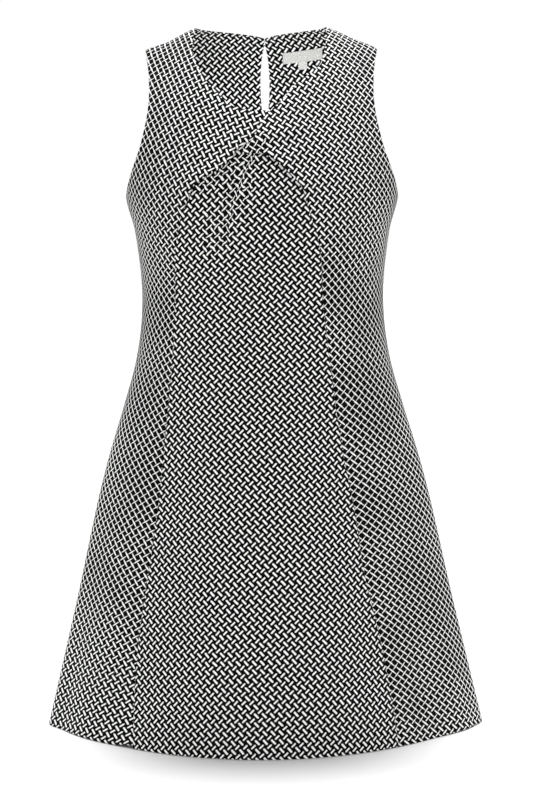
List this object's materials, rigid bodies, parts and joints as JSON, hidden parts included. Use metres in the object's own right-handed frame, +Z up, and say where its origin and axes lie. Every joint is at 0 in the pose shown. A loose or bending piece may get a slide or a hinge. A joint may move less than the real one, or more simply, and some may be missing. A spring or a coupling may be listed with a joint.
{
  "type": "a-line dress",
  "caption": "Sleeveless a-line dress in its worn form, empty, with a twisted V neck, princess seams and a buttoned keyhole at the back neck.",
  "frame": {"origin": "midway between the middles of the two shoulder seams, where the wearer's shoulders hold the dress up", "axes": "+Z up from the hem to the shoulders; the front faces -Y; +X is the viewer's right, facing the front"},
  "size_m": [0.5414, 0.3635, 0.8588],
  "materials": {
    "front_centre_cloth": "black jacquard knit with small white dashes",
    "front_left_cloth": "black jacquard knit with small white dashes",
    "front_right_cloth": "black jacquard knit with small white dashes",
    "back_left_cloth": "black jacquard knit with small white dashes",
    "back_right_cloth": "black jacquard knit with small white dashes",
    "label_tape": "smooth light grey woven tape, blank",
    "size_tape": "smooth light grey woven tape, blank",
    "button": "black, slightly glossy",
    "loop_cord": "black cord"
  },
  "bodies": {
    "root": {"front_centre": "front_centre_cloth", "front_side_left": "front_left_cloth", "front_side_right": "front_right_cloth", "back_left": "back_left_cloth", "back_right": "back_right_cloth", "neck_label": "label_tape", "size_tab": "size_tape", "back_button": "button", "button_loop": "loop_cord"}
  },
  "joints": []
}
